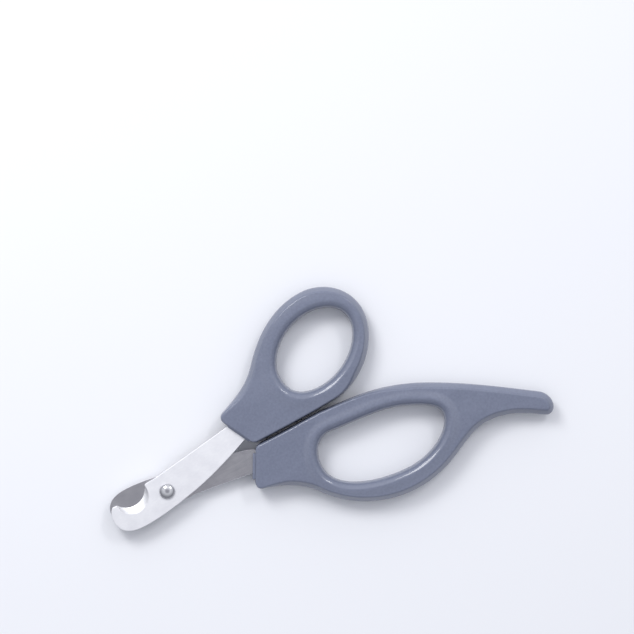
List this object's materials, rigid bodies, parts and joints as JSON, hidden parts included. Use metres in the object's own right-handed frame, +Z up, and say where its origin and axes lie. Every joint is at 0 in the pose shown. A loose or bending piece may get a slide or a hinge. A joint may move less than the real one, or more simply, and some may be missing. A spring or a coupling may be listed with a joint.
{
  "type": "scissor nail clipper",
  "caption": "Scissor-action pet nail clipper: two notched steel blades on a rivet, a round thumb loop and a long finger loop drawn out into a tail.",
  "frame": {"origin": "middle of the bounding box's underside, on the surface that the clipper lies on", "axes": "+X along the closed blades from the jaws to the handles and the tail, +Y to the thumb loop's side, +Z up out of the front face"},
  "size_m": [0.135, 0.0694, 0.008],
  "materials": {
    "blade_steel": "brushed satin stainless sheet",
    "handle_plastic": "semi-gloss moulded slate-blue plastic",
    "rivet_steel": "polished domed head"
  },
  "bodies": {
    "finger_half": {"rear_blade": "blade_steel", "finger_handle": "handle_plastic", "pivot_rivet": "rivet_steel"},
    "thumb_half": {"front_blade": "blade_steel", "thumb_handle": "handle_plastic"}
  },
  "joints": [
    {"name": "pivot_hinge", "type": "hinge", "parent": "finger_half", "child": "thumb_half", "pos_m": [-0.04895, -0.00045, 0.004], "axis": [0, 0, 1], "range_deg": [0, 50]}
  ]
}
